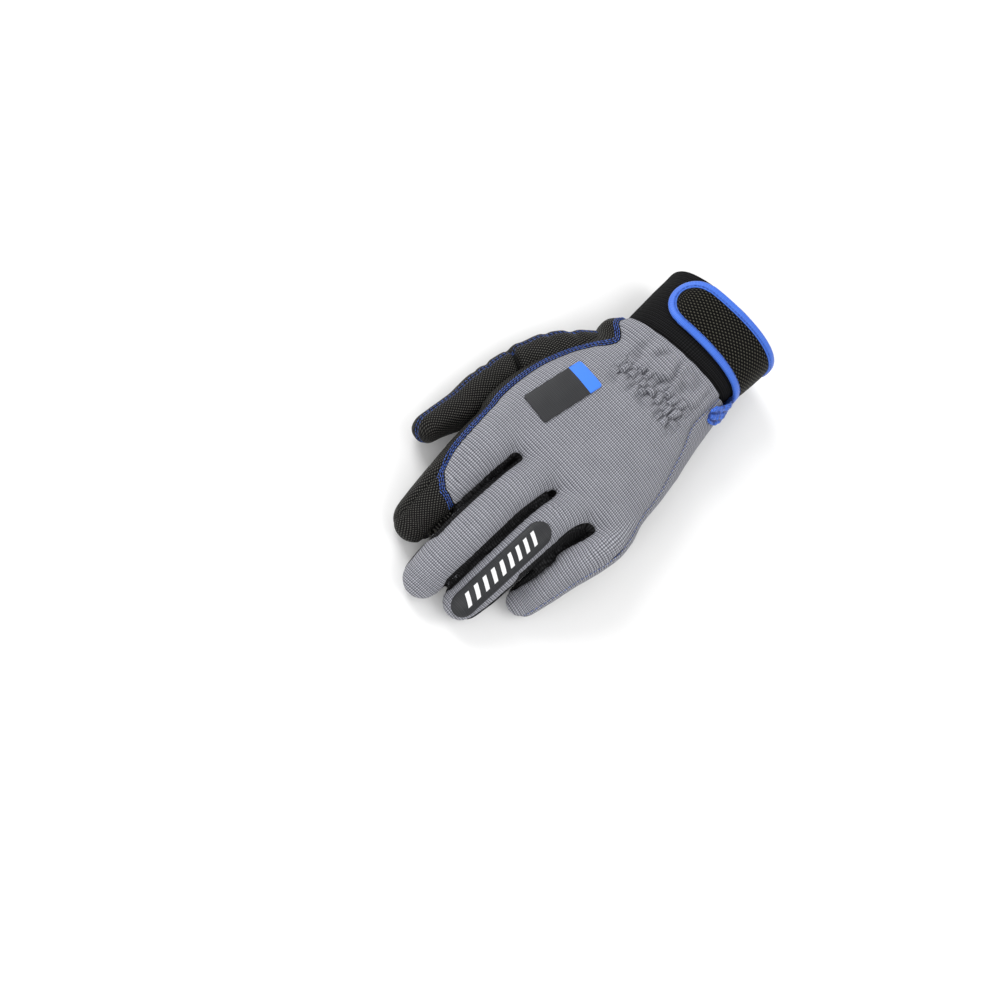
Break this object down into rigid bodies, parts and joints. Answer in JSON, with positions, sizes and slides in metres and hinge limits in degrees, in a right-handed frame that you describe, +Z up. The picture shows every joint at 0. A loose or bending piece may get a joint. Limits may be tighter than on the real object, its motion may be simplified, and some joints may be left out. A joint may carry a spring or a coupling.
{
  "type": "anti vibration glove",
  "caption": "Padded left-hand work glove lying palm down: grey knit back with gathered elastic, black dotted palm and thumb, and a cuff with a blue-edged strap.",
  "frame": {"origin": "middle of the glove's box, on the surface that it lies on", "axes": "+Y from the cuff to the fingertips, +X to the thumb side, +Z up through the back of the hand"},
  "size_m": [0.1258, 0.2386, 0.0538],
  "materials": {
    "grey_knit": "fine light grey stretch knit with a small grid",
    "palm_sheet": "black synthetic leather with small raised dots",
    "black_knit": "black stretch knit between the fingers",
    "cuff_knit": "black ribbed elastic",
    "strap_web": "black dotted fabric with a hook and loop lining",
    "blue_tape": "bright blue satin binding tape",
    "print_film": "thin dark grey printed film"
  },
  "bodies": {
    "root": {"back_panel": "grey_knit", "outer_side_strip": "grey_knit", "palm_panel": "palm_sheet", "index_tip_cap": "palm_sheet", "gusset_index_middle": "black_knit", "gusset_middle_ring": "black_knit", "gusset_ring_little": "black_knit", "thumb_back": "palm_sheet", "thumb_front": "palm_sheet", "cuff": "cuff_knit", "strap": "strap_web", "strap_binding": "blue_tape", "vent_tape": "blue_tape", "back_patch": "print_film", "finger_patch": "print_film"}
  },
  "joints": []
}
